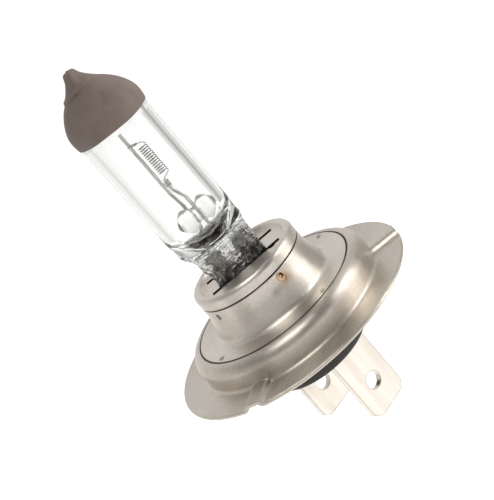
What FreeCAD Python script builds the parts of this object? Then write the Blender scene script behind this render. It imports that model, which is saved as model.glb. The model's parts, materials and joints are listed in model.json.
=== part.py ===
import FreeCAD, Part
import math
import os
import Sketcher

# H7 halogen headlight bulb with a PX26d cap, in millimetres.
# The lamp axis is Z, with the glass tip up.
# The origin is on the axis, in the top face of the mounting flange.
# The two terminal blades hang below the flange, either side of the XZ plane.
# Their flat faces look along Y.

os.makedirs("parts", exist_ok=True)
doc = FreeCAD.newDocument("headlight_bulb")
sheet = doc.addObject("Spreadsheet::Sheet", "dims")

DRIVING = {
    # mounting cap: a drawn steel cup with a flat flange
    "sheet_thick": 0.5,
    "cup_radius": 13.05,
    "cup_height": 3.5,
    "cup_mouth_radius": 6.9,
    "flange_radius": 17.0,
    "flange_thick": 0.45,
    "shoulder_round": 1.4,
    "recess_depth": 0.45,
    "boss_height": 0.55,
    "boss_top": 1.7,
    "boss_foot": 3.7,
    # focusing collar: a flared sleeve welded on top of the cup
    "sleeve_radius": 7.53,
    "sleeve_top": 8.22,
    "sleeve_bend": 6.85,
    "sleeve_foot_radius": 8.3,
    "disc_radius": 11.4,
    "flare_radius": 0.8,
    # clip that grips the glass, telescoped into the sleeve
    "clip_wall": 0.4,
    "clip_top": 9.9,
    "clip_plate": 9.4,
    "clip_shoulder": 8.36,
    "clip_skirt_end": 4.4,
    "clip_rim_inner": 6.5,
    "slit_width": 0.80,
    "slit_reach": 5.2,
    "opening_width": 4.5,
    # glass
    "tube_radius": 4.8,
    "tube_wall": 1.05,
    "dome_radius": 4.98,
    "dome_start": 34.4,
    "glass_tip": 40.6,
    "shoulder_height": 15.7,
    "coat_thick": 0.12,
    "coat_start": 32.6,
    "pinch_width": 7.3,
    "pinch_thick": 3.1,
    "pinch_bottom": 5.2,
    "pinch_panel_depth": 0.35,
    "pinch_offset": -0.36,
    # filament and its supports
    "coil_start": 24.4,
    "coil_length": 4.1,
    "coil_radius": 0.56,
    "filament_wire": 0.075,
    "coil_turns": 15,
    "lead_radius": 0.23,
    "outer_lead_radius": 0.3,
    "foil_width": 2.2,
    "foil_thick": 0.06,
    "bead_radius": 1.75,
    # insulator and blades
    "insulator_boss_radius": 7.35,
    "insulator_end": -6.2,
    "insulator_disc_end": -1.2,
    "insulator_top": 1.8,
    "blade_width": 6.3,
    "blade_thick": 0.8,
    "blade_end": -16.0,
    "blade_spacing": 10.45,
    "blade_hole_radius": 1.15,
    "blade_hole_height": -11.9,
    "blade_chamfer": 0.9,
    "tab_width": 3.0,
    "tab_top": 3.6,
}

for row, (alias, number) in enumerate(DRIVING.items(), start=1):
    sheet.set("A%d" % row, alias)
    sheet.set("B%d" % row, str(number))
    sheet.setAlias("B%d" % row, alias)
doc.recompute()

Vector = FreeCAD.Vector
Z_AXIS = Vector(0, 0, 1)


def dim(alias):
    return float(getattr(sheet, alias))


def evaluate(text):
    """Number for a sheet formula such as '<<dims>>.cup_radius - 1'."""
    probe.setExpression("value", text)
    probe.recompute()
    return float(probe.value)


probe = doc.addObject("App::FeaturePython", "formula_probe")
probe.addProperty("App::PropertyFloat", "value")


def d(text):
    """Expand {alias} names into sheet references."""
    return text.replace("{", "dims.").replace("}", "")


def add_body(name):
    return doc.addObject("PartDesign::Body", name)


def origin_part(body, role):
    for feature in body.Origin.OriginFeatures:
        if feature.Role == role:
            return feature
    raise ValueError(role)


def new_sketch(body, name, plane, offset=0.0):
    sketch = body.newObject("Sketcher::SketchObject", name)
    sketch.AttachmentSupport = [(origin_part(body, plane), "")]
    sketch.MapMode = "FlatFace"
    sketch.AttachmentOffset = FreeCAD.Placement(Vector(0, 0, offset), FreeCAD.Rotation())
    return sketch


def bind(sketch, kind, geometry, point, formula, name):
    """Signed distance of a sketch point from the sketch origin, driven by a formula."""
    index = sketch.addConstraint(Sketcher.Constraint(kind, -1, 1, geometry, point, evaluate(d(formula))))
    sketch.renameConstraint(index, name)
    sketch.setExpression("Constraints." + name, d(formula))


def polygon(sketch, corners):
    """Closed outline; every corner is a pair of formulas in the sheet's names."""
    spots = [Vector(evaluate(d(a)), evaluate(d(b)), 0) for a, b in corners]
    count = len(spots)
    for i in range(count):
        sketch.addGeometry(Part.LineSegment(spots[i], spots[(i + 1) % count]), False)
    for i in range(count):
        sketch.addConstraint(Sketcher.Constraint("Coincident", i, 2, (i + 1) % count, 1))
    for i, (a, b) in enumerate(corners):
        bind(sketch, "DistanceX", i, 1, a, "across%d" % i)
        bind(sketch, "DistanceY", i, 1, b, "up%d" % i)
    doc.recompute()


def circle(sketch, radius, across="0", up="0"):
    """Circle with its centre and radius driven by formulas."""
    centre = Vector(evaluate(d(across)), evaluate(d(up)), 0)
    geometry = sketch.addGeometry(Part.Circle(centre, Vector(0, 0, 1), evaluate(d(radius))), False)
    tag = "hole%d" % geometry
    index = sketch.addConstraint(Sketcher.Constraint("Radius", geometry, evaluate(d(radius))))
    sketch.renameConstraint(index, tag + "_radius")
    sketch.setExpression("Constraints." + tag + "_radius", d(radius))
    bind(sketch, "DistanceX", geometry, 3, across, tag + "_across")
    bind(sketch, "DistanceY", geometry, 3, up, tag + "_up")
    doc.recompute()


def rectangle(sketch, half_across, low, high):
    polygon(sketch, [("-(%s)" % half_across, low), (half_across, low),
                     (half_across, high), ("-(%s)" % half_across, high)])


def revolve(body, name, corners):
    """Full turn about Z of an outline given as (radius, height) pairs."""
    sketch = new_sketch(body, name + "_outline", "XZ_Plane")
    polygon(sketch, corners)
    feature = body.newObject("PartDesign::Revolution", name)
    feature.Profile = sketch
    feature.ReferenceAxis = (sketch, ["V_Axis"])
    feature.Angle = 360
    doc.recompute()
    return feature


def pad(body, sketch, name, length, midplane=False, reverse=False):
    feature = body.newObject("PartDesign::Pad", name)
    feature.Profile = sketch
    feature.setExpression("Length", d(length))
    feature.Midplane = midplane
    feature.Reversed = reverse
    doc.recompute()
    return feature


def pocket(body, sketch, name, length, midplane=False):
    """Cut made on whichever side of the sketch really takes material away."""
    before = body.Tip.Shape.Volume
    feature = body.newObject("PartDesign::Pocket", name)
    feature.Profile = sketch
    feature.setExpression("Length", d(length))
    feature.Midplane = midplane
    doc.recompute()
    if feature.Shape.isNull() or abs(before - feature.Shape.Volume) < 1e-6:
        feature.Reversed = True
        doc.recompute()
    return feature


def pattern(body, name, originals, count):
    """Repeat features round the body's own Z axis."""
    feature = body.newObject("PartDesign::PolarPattern", name)
    feature.Originals = originals
    feature.Axis = (origin_part(body, "Z_Axis"), [""])
    feature.Angle = 360
    feature.Occurrences = count
    body.Tip = feature
    doc.recompute()
    return feature


def ring_edges(shape, radius, height):
    """Names of circular edges about the Z direction with this radius at this height."""
    names = []
    for number, edge in enumerate(shape.Edges, start=1):
        curve = edge.Curve
        if isinstance(curve, Part.Circle) and abs(curve.Radius - radius) < 0.02:
            if abs(curve.Center.z - height) < 0.02:
                names.append("Edge%d" % number)
    return names


def straight_edges(shape, direction, accept):
    """Names of straight edges along a direction whose mid point is accepted."""
    names = []
    for number, edge in enumerate(shape.Edges, start=1):
        if isinstance(edge.Curve, Part.Line):
            if abs(abs(edge.Curve.Direction.dot(direction)) - 1) < 1e-3 and accept(edge.CenterOfMass):
                names.append("Edge%d" % number)
    return names


def dress(body, kind, name, edges, size):
    """Fillet or chamfer on the named edges of the current tip."""
    base = body.Tip
    feature = body.newObject("PartDesign::" + kind, name)
    feature.Base = (base, edges)
    feature.setExpression("Radius" if kind == "Fillet" else "Size", d(size))
    body.Tip = feature
    doc.recompute()
    return feature


def round_ring(body, name, radius, height, size):
    edges = ring_edges(body.Tip.Shape, evaluate(d(radius)), evaluate(d(height)))
    return dress(body, "Fillet", name, edges, size)


def place(thing, x=0.0, y=0.0, z=0.0, turn=0.0):
    thing.Placement = FreeCAD.Placement(Vector(x, y, z), FreeCAD.Rotation(Z_AXIS, turn))


def wire(name, nodes, radius):
    """Round wire along a chain of straight runs with ball corners."""
    spine = doc.addObject("Part::Polygon", name + "_path")
    spine.Nodes = nodes
    section = doc.addObject("Part::Circle", name + "_section")
    section.setExpression("Radius", d(radius))
    heading = nodes[1] - nodes[0]
    section.Placement = FreeCAD.Placement(nodes[0], FreeCAD.Rotation(Z_AXIS, heading))
    sweep = doc.addObject("Part::Sweep", name)
    sweep.Sections = [section]
    sweep.Spine = (spine, ["Edge%d" % (i + 1) for i in range(len(nodes) - 1)])
    sweep.Solid = True
    sweep.Frenet = False
    sweep.Transition = "Round corner"
    doc.recompute()
    return sweep


def cut(name, base, tools):
    """Base with the tools taken away."""
    tool = tools[0]
    if len(tools) > 1:
        tool = doc.addObject("Part::Compound", name + "_tools")
        tool.Links = tools
    feature = doc.addObject("Part::Cut", name)
    feature.Base = base
    feature.Tool = tool
    doc.recompute()
    return feature


def fuse(name, shapes):
    feature = doc.addObject("Part::MultiFuse", name)
    feature.Shapes = shapes
    doc.recompute()
    return feature


# The burner is not quite concentric with its cap: the filament is put on the lamp axis and the glass
# sits where it falls.  "pinch" directions: along = the wide way of the flattened glass foot.
PINCH_TURN = -30.0
GLASS_AXIS = Vector(-0.78, 0.42, 0)
ALONG = Vector(math.cos(math.radians(PINCH_TURN)), math.sin(math.radians(PINCH_TURN)), 0)
ACROSS = Vector(-ALONG.y, ALONG.x, 0)
PINCH_AXIS = ALONG * dim("pinch_offset")


def lamp_point(along, across, height):
    """Point given along and across the pinch, from the lamp axis."""
    return ALONG * along + ACROSS * across + Z_AXIS * height


def pinch_point(along, across, height):
    """Point given along and across the pinch, from the middle of the pinch."""
    return PINCH_AXIS + lamp_point(along, across, height)


# ---------------------------------------------------------------- cap shell
cap = add_body("cap_shell")
revolve(cap, "cup_and_flange", [
    ("{cup_mouth_radius}", "{cup_height} - {recess_depth}"),
    ("{disc_radius} + 0.05", "{cup_height} - {recess_depth}"),
    ("{disc_radius} + 0.05", "{cup_height}"),
    ("{cup_radius}", "{cup_height}"),
    ("{cup_radius}", "0"),
    ("{flange_radius}", "0"),
    ("{flange_radius}", "-{flange_thick}"),
    ("{cup_radius} - {sheet_thick}", "-{flange_thick}"),
    ("{cup_radius} - {sheet_thick}", "{cup_height} - {recess_depth} - {sheet_thick}"),
    ("{cup_mouth_radius}", "{cup_height} - {recess_depth} - {sheet_thick}"),
])
round_ring(cap, "shoulder", "{cup_radius}", "{cup_height}", "{shoulder_round}")
round_ring(cap, "foot", "{cup_radius}", "0", "0.4")
round_ring(cap, "inner_corner", "{cup_radius} - {sheet_thick}",
           "{cup_height} - {recess_depth} - {sheet_thick}", "0.7")
round_ring(cap, "flange_edge_top", "{flange_radius}", "0", "0.16")
round_ring(cap, "flange_edge_bottom", "{flange_radius}", "-{flange_thick}", "0.12")

boss_sketch = new_sketch(cap, "boss_outline", "XZ_Plane", dim("cup_radius") - 0.3)
polygon(boss_sketch, [
    ("-{boss_foot} / 2", "-{flange_thick} / 2"), ("{boss_foot} / 2", "-{flange_thick} / 2"),
    ("{boss_foot} / 2", "0.01"), ("{boss_foot} / 2 - 0.3", "0.07"),
    ("{boss_top} / 2 + 0.3", "{boss_height} - 0.13"), ("{boss_top} / 2", "{boss_height} - 0.02"),
    ("{boss_top} / 2 - 0.25", "{boss_height}"), ("-{boss_top} / 2 + 0.25", "{boss_height}"),
    ("-{boss_top} / 2", "{boss_height} - 0.02"), ("-{boss_top} / 2 - 0.3", "{boss_height} - 0.13"),
    ("-{boss_foot} / 2 + 0.3", "0.07"), ("-{boss_foot} / 2", "0.01"),
])
boss = pad(cap, boss_sketch, "boss", "{flange_radius} - {cup_radius} + 0.2")
hollow_sketch = new_sketch(cap, "boss_hollow_outline", "XZ_Plane", dim("cup_radius") + 0.6)
polygon(hollow_sketch, [
    ("-{boss_foot} / 2 + 0.35", "-{flange_thick} - 0.1"),
    ("{boss_foot} / 2 - 0.35", "-{flange_thick} - 0.1"),
    ("{boss_foot} / 2 - 0.35", "-{flange_thick} + 0.01"),
    ("{boss_top} / 2 - 0.3", "{boss_height} - {flange_thick}"),
    ("-{boss_top} / 2 + 0.3", "{boss_height} - {flange_thick}"),
    ("-{boss_foot} / 2 + 0.35", "-{flange_thick} + 0.01"),
])
hollow = cap.newObject("PartDesign::Pocket", "boss_hollow")
hollow.Profile = hollow_sketch
hollow.setExpression("Length", d("{flange_radius} - {cup_radius}"))
hollow.Reversed = True
doc.recompute()
pattern(cap, "three_bosses", [boss, hollow], 3)
place(cap, turn=-64.0)

# ---------------------------------------------------------------- focusing collar
collar = add_body("focus_collar")
revolve(collar, "sleeve_and_disc", [
    ("{sleeve_foot_radius} - {sheet_thick}", "{cup_height} - {recess_depth}"),
    ("{disc_radius}", "{cup_height} - {recess_depth}"),
    ("{disc_radius}", "{cup_height} + 0.05"),
    ("{sleeve_foot_radius}", "{cup_height} + 0.05"),
    ("{sleeve_radius}", "{sleeve_bend}"),
    ("{sleeve_radius}", "{sleeve_top}"),
    ("{sleeve_radius} - {sheet_thick}", "{sleeve_top}"),
    ("{sleeve_radius} - {sheet_thick}", "{sleeve_bend}"),
])
round_ring(collar, "flare", "{sleeve_foot_radius}", "{cup_height} + 0.05", "{flare_radius}")
round_ring(collar, "flare_inside", "{sleeve_foot_radius} - {sheet_thick}",
           "{cup_height} - {recess_depth}", "{flare_radius}")
round_ring(collar, "sleeve_softening", "{sleeve_radius}", "{sleeve_bend}", "4")
round_ring(collar, "disc_edge", "{disc_radius}", "{cup_height} + 0.05", "0.12")
round_ring(collar, "sleeve_lip", "{sleeve_radius}", "{sleeve_top}", "0.08")

# ---------------------------------------------------------------- burner clip
clip = add_body("burner_clip")
revolve(clip, "cap_and_skirt", [
    ("0", "{clip_plate}"),
    ("{clip_rim_inner} - 0.35", "{clip_plate}"),
    ("{clip_rim_inner}", "{clip_top}"),
    ("{sleeve_radius}", "{clip_top}"),
    ("{sleeve_radius}", "{clip_shoulder}"),
    ("{sleeve_radius} - {sheet_thick}", "{clip_shoulder}"),
    ("{sleeve_radius} - {sheet_thick}", "{clip_skirt_end}"),
    ("{sleeve_radius} - {sheet_thick} - {clip_wall}", "{clip_skirt_end}"),
    ("{sleeve_radius} - {sheet_thick} - {clip_wall}", "{clip_plate} - {clip_wall}"),
    ("0", "{clip_plate} - {clip_wall}"),
])
round_ring(clip, "rim_outside", "{sleeve_radius}", "{clip_top}", "0.55")
round_ring(clip, "rim_inside", "{clip_rim_inner}", "{clip_top}", "0.3")
round_ring(clip, "dish_corner", "{clip_rim_inner} - 0.35", "{clip_plate}", "0.35")
round_ring(clip, "seam_lip", "{sleeve_radius}", "{clip_shoulder}", "0.08")

window = new_sketch(clip, "window_outline", "XY_Plane", dim("clip_top") + 0.2)
polygon(window, [
    ("{pinch_offset} - {pinch_width} / 2", "-{opening_width} / 2"),
    ("{pinch_offset} + {pinch_width} / 2", "-{opening_width} / 2"),
    ("{pinch_offset} + {pinch_width} / 2", "{opening_width} / 2"),
    ("{pinch_offset} - {pinch_width} / 2", "{opening_width} / 2"),
])
pocket(clip, window, "window", "1.6")
for side_name, low in (("near", "-{opening_width} / 2 - {slit_width} / 2"),
                       ("far", "{opening_width} / 2 - {slit_width} / 2")):
    slit = new_sketch(clip, side_name + "_slit_outline", "XY_Plane", dim("clip_top") + 0.2)
    rectangle(slit, "{slit_reach}", low, low + " + {slit_width}")
    pocket(clip, slit, side_name + "_slits", "1.6")
eyelet = new_sketch(clip, "vent_outline", "XY_Plane", dim("clip_top") + 0.2)
circle(eyelet, "0.5", "{pinch_width} / 2 + 0.35", "-{opening_width} / 2 - 0.25")
pocket(clip, eyelet, "vent", "1.6")
place(clip, turn=PINCH_TURN)

# ---------------------------------------------------------------- glass envelope
DOME = [
    ("{tube_radius}", "{coat_start} - 1.2"),
    ("{dome_radius}", "{coat_start} + 0.9"),
    ("{dome_radius} - 0.1", "{dome_start}"),
    ("{dome_radius} - 1.35", "{dome_start} + 2.4"),
    ("1.85", "{dome_start} + 4.15"),
    ("0.85", "{glass_tip} - 0.55"),
    ("0.35", "{glass_tip}"),
    ("0", "{glass_tip}"),
]
DOME_ROUNDS = [("soft_side", 1, "6"), ("soft_waist", 2, "3.5"), ("soft_flank", 3, "2.5"),
               ("soft_neck", 4, "1.6"), ("soft_tip", 5, "0.6"), ("soft_point", 6, "0.3")]

glass_outside = add_body("glass_outside")
revolve(glass_outside, "tube_and_dome", DOME + [
    ("0", "{shoulder_height} - 2.8"),
    ("1.7", "{shoulder_height} - 2.8"),
    ("{tube_radius}", "{shoulder_height}"),
])
for label, corner, size in DOME_ROUNDS:
    round_ring(glass_outside, label, DOME[corner][0], DOME[corner][1], size)
round_ring(glass_outside, "tube_shoulder", "{tube_radius}", "{shoulder_height}", "1.6")
place(glass_outside, GLASS_AXIS.x, GLASS_AXIS.y)

glass_pinch = add_body("glass_pinch")
pinch_outline = new_sketch(glass_pinch, "pinch_outline", "XY_Plane", dim("pinch_bottom"))
rectangle(pinch_outline, "{pinch_width} / 2", "-{pinch_thick} / 2", "{pinch_thick} / 2")
pad(glass_pinch, pinch_outline, "pinch_block", "{shoulder_height} - {pinch_bottom} - 0.4")
upright = straight_edges(glass_pinch.Tip.Shape, Z_AXIS, lambda spot: True)
dress(glass_pinch, "Fillet", "pinch_corners", upright, "0.55")
panel_offset = dim("pinch_thick") / 2 - dim("pinch_panel_depth")
panel_outline = new_sketch(glass_pinch, "panel_outline", "XZ_Plane", panel_offset)
rectangle(panel_outline, "{pinch_width} / 2 - 0.9", "{pinch_bottom} + 1.2", "{shoulder_height} - 2.9")
near_panel = pocket(glass_pinch, panel_outline, "pressed_panel", "1.0")
pattern(glass_pinch, "pressed_panels", [near_panel], 2)
place(glass_pinch, PINCH_AXIS.x, PINCH_AXIS.y, 0, PINCH_TURN)

glass_inside = add_body("glass_inside")
revolve(glass_inside, "cavity", [
    ("0", "{shoulder_height} - 1.1"),
    ("1.3", "{shoulder_height} - 1.1"),
    ("{tube_radius} - {tube_wall}", "{shoulder_height} + 1.1"),
    ("{tube_radius} - {tube_wall}", "{dome_start} + 0.2"),
    ("1.6", "{dome_start} + 3.1"),
    ("0.5", "{glass_tip} - 2.1"),
    ("0", "{glass_tip} - 2.1"),
])
round_ring(glass_inside, "cavity_shoulder", "{tube_radius} - {tube_wall}", "{shoulder_height} + 1.1", "1.4")
round_ring(glass_inside, "cavity_dome", "{tube_radius} - {tube_wall}", "{dome_start} + 0.2", "2.2")
round_ring(glass_inside, "cavity_neck", "1.6", "{dome_start} + 3.1", "1.2")
place(glass_inside, GLASS_AXIS.x, GLASS_AXIS.y)

# ---------------------------------------------------------------- anti-glare coating on the dome
coat_outside = add_body("coat_outside")
COAT = [("%s + {coat_thick}" % r, "%s + {coat_thick} / 2" % h) for r, h in DOME[1:-1]]
revolve(coat_outside, "coat_skin", [
    ("{tube_radius} - 1", "{coat_start}"),
    ("{tube_radius} + {coat_thick} + 0.06", "{coat_start}"),
] + COAT + [
    ("0", "{glass_tip} + {coat_thick} / 2"),
    ("0", "{coat_start} + 1"),
])
for (label, corner, size), (radius, height) in zip(DOME_ROUNDS, COAT):
    round_ring(coat_outside, "coat_" + label, radius, height, size)
place(coat_outside, GLASS_AXIS.x, GLASS_AXIS.y)
coating = cut("antiglare_coating", coat_outside, [glass_outside])

# ---------------------------------------------------------------- current leads and their sealing foils
SUPPORT_TURN = -28.0
SUPPORT_SIDE = FreeCAD.Rotation(Z_AXIS, SUPPORT_TURN).multVec(Vector(1, 0, 0))
SUPPORT_BACK = FreeCAD.Rotation(Z_AXIS, SUPPORT_TURN).multVec(Vector(0, 1, 0))


def support_point(side, back, height):
    """Point given sideways and backwards in the frame the filament supports are bent in."""
    return SUPPORT_SIDE * side + SUPPORT_BACK * back + Z_AXIS * height


foil_reach = 2.0
face_gap = dim("foil_thick") / 2 + dim("lead_radius")
outer_gap = dim("foil_thick") / 2 + dim("outer_lead_radius")
long_lead = wire("long_lead_wire", [
    support_point(-1.15, 1.45, 31.3),
    support_point(-1.2, 1.45, 21.6),
    support_point(-0.95, 0.95, 19.6),
    support_point(-0.95, 0.9, 16.0),
    pinch_point(-foil_reach, face_gap, 13.6),
    pinch_point(-foil_reach, face_gap, 12.0),
], "{lead_radius}")
short_lead = wire("short_lead_wire", [
    support_point(-0.6, 0.0, 23.7),
    support_point(-0.6, 0.0, 22.1),
    support_point(0.0, -0.35, 20.6),
    support_point(0.05, -0.35, 16.0),
    pinch_point(foil_reach, face_gap, 13.6),
    pinch_point(foil_reach, face_gap, 12.0),
], "{lead_radius}")


def foil(name, along):
    """Thin molybdenum strip sealed in the pinch, bridging an inner and an outer lead."""
    strip = doc.addObject("Part::Box", name)
    strip.setExpression("Length", d("{foil_width}"))
    strip.setExpression("Width", d("{foil_thick}"))
    strip.Height = 6.9
    corner = pinch_point(along - dim("foil_width") / 2, -dim("foil_thick") / 2, 6.2)
    place(strip, corner.x, corner.y, corner.z, PINCH_TURN)
    return strip


long_foil = foil("long_lead_foil", -foil_reach)
short_foil = foil("short_lead_foil", foil_reach)


def outer_lead(name, along, face):
    """Lead from a foil out of the pinch foot and down the inner face of a blade tab."""
    run = dim("blade_spacing") / 2 - dim("blade_thick") / 2 - dim("outer_lead_radius")
    return wire(name, [
        pinch_point(along, outer_gap, 7.3),
        pinch_point(along, outer_gap, 4.7),
        Vector(0, face * run, 3.3),
        Vector(0, face * run, 2.2),
    ], "{outer_lead_radius}")


long_outer = outer_lead("long_outer_lead", -foil_reach, 1)
short_outer = outer_lead("short_outer_lead", foil_reach, -1)

conductors = [long_lead, short_lead, long_foil, short_foil, long_outer, short_outer]
glass_body = fuse("glass_body", [glass_outside, glass_pinch])
glass_shell = cut("glass_shell", glass_body, [glass_inside])
glass = cut("glass_envelope", glass_shell, conductors)

# ---------------------------------------------------------------- glass bridge that ties the two leads
lobes = []
for label, side in (("left", -1.6), ("right", 1.0)):
    lobe = doc.addObject("Part::Sphere", label + "_lobe")
    lobe.setExpression("Radius", d("{bead_radius}"))
    centre = support_point(side, 0.25, 17.75)
    place(lobe, centre.x, centre.y, centre.z)
    lobes.append(lobe)
bead_body = fuse("bead_body", lobes)
bead = cut("lead_bridge_bead", bead_body, [long_lead, short_lead])

# ---------------------------------------------------------------- filament: one wire, leg - coil - leg
coil_from = dim("coil_start")
coil_radius = dim("coil_radius")
turns = int(dim("coil_turns"))
steps = 12
start_angle = math.radians(SUPPORT_TURN)
coil_nodes = [support_point(-0.6, 0.33, 22.75), support_point(-0.6, 0.33, 23.5),
              support_point(-0.45, 0.2, 23.95), support_point(0.15, -0.05, 24.05)]
for i in range(turns * steps + 1):
    angle = start_angle + 2 * math.pi * i / steps
    height = coil_from + dim("coil_length") * i / (turns * steps)
    coil_nodes.append(Vector(coil_radius * math.cos(angle), coil_radius * math.sin(angle), height))
coil_nodes += [support_point(0.3, 0.25, 28.82), support_point(0.0, 0.12, 28.98),
               support_point(-0.3, 0.2, 29.03)]
coil_path = Part.BSplineCurve()
coil_path.interpolate(coil_nodes)
coil_spine = Part.Wire([coil_path.toShape()])
heading = coil_path.tangent(coil_path.FirstParameter)[0]
coil_section = Part.Wire([Part.makeCircle(dim("filament_wire"), coil_nodes[0], heading)])
filament = doc.addObject("Part::Feature", "filament_coil")
filament.Shape = coil_spine.makePipeShell([coil_section], True, True)

# ---------------------------------------------------------------- clamps between filament and leads
clamp_start = support_point(-1.36, 1.76, 28.93)
clamp_end = support_point(-0.12, -0.1, 28.93)
clamp_run = clamp_end - clamp_start
front_block = doc.addObject("Part::Box", "front_clamp_block")
front_block.Length = clamp_run.Length
front_block.Width = 0.48
front_block.Height = 0.2
clamp_turn = math.degrees(math.atan2(clamp_run.y, clamp_run.x))
clamp_corner = clamp_start - FreeCAD.Rotation(Z_AXIS, clamp_turn).multVec(Vector(0, 0.24, 0))
place(front_block, clamp_corner.x, clamp_corner.y, clamp_corner.z, clamp_turn)
front_clamp = cut("front_filament_clamp", front_block, [long_lead, filament])

crimp = doc.addObject("Part::Cylinder", "rear_clamp_block")
crimp.Radius = 0.46
crimp.Height = 0.75
crimp_spot = support_point(-0.6, 0.12, 22.6)
place(crimp, crimp_spot.x, crimp_spot.y, crimp_spot.z)
rear_clamp = cut("rear_filament_clamp", crimp, [short_lead, filament])

# ---------------------------------------------------------------- insulator and blades
insulator_block = add_body("insulator_block")
revolve(insulator_block, "plug", [
    ("0", "{insulator_top}"),
    ("{cup_radius} - {sheet_thick} - 0.6", "{insulator_top}"),
    ("{cup_radius} - {sheet_thick}", "{insulator_top} - 0.6"),
    ("{cup_radius} - {sheet_thick}", "{insulator_disc_end}"),
    ("{insulator_boss_radius}", "{insulator_disc_end}"),
    ("{insulator_boss_radius}", "{insulator_end}"),
    ("0", "{insulator_end}"),
])
round_ring(insulator_block, "boss_edge", "{insulator_boss_radius}", "{insulator_end}", "0.45")
round_ring(insulator_block, "boss_root", "{insulator_boss_radius}", "{insulator_disc_end}", "0.8")
round_ring(insulator_block, "disc_edge_below", "{cup_radius} - {sheet_thick}", "{insulator_disc_end}", "0.3")


def blade(name, y):
    """6.3 x 0.8 mm push-on tab with a hole, clipped corners and a narrow solder tab on top."""
    body = add_body(name)
    outline = new_sketch(body, name + "_outline", "XZ_Plane")
    polygon(outline, [
        ("-{blade_width} / 2", "{blade_end}"), ("{blade_width} / 2", "{blade_end}"),
        ("{blade_width} / 2", "{insulator_top} - 1.0"), ("{tab_width} / 2", "{insulator_top} - 1.0"),
        ("{tab_width} / 2", "{tab_top}"), ("-{tab_width} / 2", "{tab_top}"),
        ("-{tab_width} / 2", "{insulator_top} - 1.0"), ("-{blade_width} / 2", "{insulator_top} - 1.0"),
    ])
    pad(body, outline, name + "_strip", "{blade_thick}", midplane=True)
    hole = new_sketch(body, name + "_hole_outline", "XZ_Plane", dim("blade_thick"))
    circle(hole, "{blade_hole_radius}", "0", "{blade_hole_height}")
    pocket(body, hole, name + "_hole", "{blade_thick} * 2")
    low_corners = straight_edges(body.Tip.Shape, Vector(0, 1, 0),
                                 lambda spot: spot.z < dim("blade_end") + 0.1)
    dress(body, "Chamfer", name + "_lead_in", low_corners, "{blade_chamfer}")
    place(body, 0, y)
    return body


near_blade = blade("terminal_near", -dim("blade_spacing") / 2)
far_blade = blade("terminal_far", dim("blade_spacing") / 2)
insulator = cut("insulator", insulator_block, [near_blade, far_blade])

# ---------------------------------------------------------------- small welds
nuggets = []
for face, lead in ((1, long_outer), (-1, short_outer)):
    inner = dim("blade_spacing") / 2 - dim("blade_thick") / 2
    nugget = doc.addObject("Part::Box", "nugget_%d" % (face + 2))
    nugget.Length = 1.3
    nugget.Width = 0.4
    nugget.Height = 0.7
    place(nugget, -0.65, face * inner - (0.4 if face > 0 else 0.0), 2.35)
    nuggets.append(cut("lead_nugget_%d" % (face + 2), nugget, [lead]))
lead_welds = doc.addObject("Part::Compound", "lead_weld_nuggets")
lead_welds.Links = nuggets


def spots(name, angles, radius, height, size, thick, upright, base):
    """Weld buttons on a surface: they stop where the base metal starts."""
    buttons = []
    for number, angle in enumerate(angles):
        button = doc.addObject("Part::Cylinder", "%s_%d" % (name, number))
        button.Radius = size
        button.Height = thick
        out = Vector(math.cos(math.radians(angle)), math.sin(math.radians(angle)), 0)
        axis = Z_AXIS if upright else out
        turned = FreeCAD.Rotation(Z_AXIS, axis)
        button.Placement = FreeCAD.Placement(out * radius + Z_AXIS * height, turned)
        buttons.append(cut("%s_button_%d" % (name, number), button, [base]))
    group = doc.addObject("Part::Compound", name)
    group.Links = buttons
    return group


collar_welds = spots("collar_weld_spots", [-101.0, -178.0, 41.0],
                     dim("sleeve_radius") - 0.1, 7.35, 0.42, 0.17, False, collar)
disc_welds = spots("disc_weld_spots", [-91.0, -1.0, 89.0, 179.0],
                   dim("disc_radius") - 0.75, dim("cup_height"), 0.34, 0.11, True, collar)

# ---------------------------------------------------------------- check and write every node
doc.recompute()
NODES = [
    cap, collar, clip, glass, coating, filament, long_lead, short_lead, front_clamp, rear_clamp, bead,
    long_foil, short_foil, long_outer, short_outer, insulator, near_blade, far_blade,
    lead_welds, collar_welds, disc_welds,
]
for item in doc.Objects:
    if "Invalid" in item.State or "Error" in item.State:
        raise RuntimeError("%s did not build: %s" % (item.Name, item.State))
for node in NODES:
    shape = node.Shape
    if shape.isNull() or not shape.isValid() or shape.Volume <= 0:
        raise RuntimeError("%s has no sound shape" % node.Name)
    shape.exportStep("parts/%s.step" % node.Name)
    print("%-22s %9.3f mm3  %d solid(s)" % (node.Name, shape.Volume, len(shape.Solids)))
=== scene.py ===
import json
import math
import bmesh
import bpy
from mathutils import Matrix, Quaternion, Vector, noise


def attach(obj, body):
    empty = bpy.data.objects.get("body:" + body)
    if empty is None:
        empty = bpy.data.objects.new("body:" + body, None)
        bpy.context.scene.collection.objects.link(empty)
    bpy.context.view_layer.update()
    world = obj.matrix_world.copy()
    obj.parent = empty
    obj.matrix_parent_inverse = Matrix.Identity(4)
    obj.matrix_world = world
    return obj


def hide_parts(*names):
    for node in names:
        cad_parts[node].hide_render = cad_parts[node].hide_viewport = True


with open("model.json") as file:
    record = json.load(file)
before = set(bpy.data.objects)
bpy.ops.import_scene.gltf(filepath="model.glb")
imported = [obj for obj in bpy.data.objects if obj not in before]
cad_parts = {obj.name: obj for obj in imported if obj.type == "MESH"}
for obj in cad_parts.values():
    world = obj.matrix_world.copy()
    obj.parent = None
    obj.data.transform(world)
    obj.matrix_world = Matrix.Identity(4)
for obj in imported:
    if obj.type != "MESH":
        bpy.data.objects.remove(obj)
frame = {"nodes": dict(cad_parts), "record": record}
nodes = frame["nodes"]
scene = bpy.context.scene
MM = 0.001

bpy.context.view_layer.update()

# sockets of a colour Mix node
MIX_FACTOR, MIX_BASE, MIX_TOP, MIX_OUT = 0, 6, 7, 2


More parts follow.
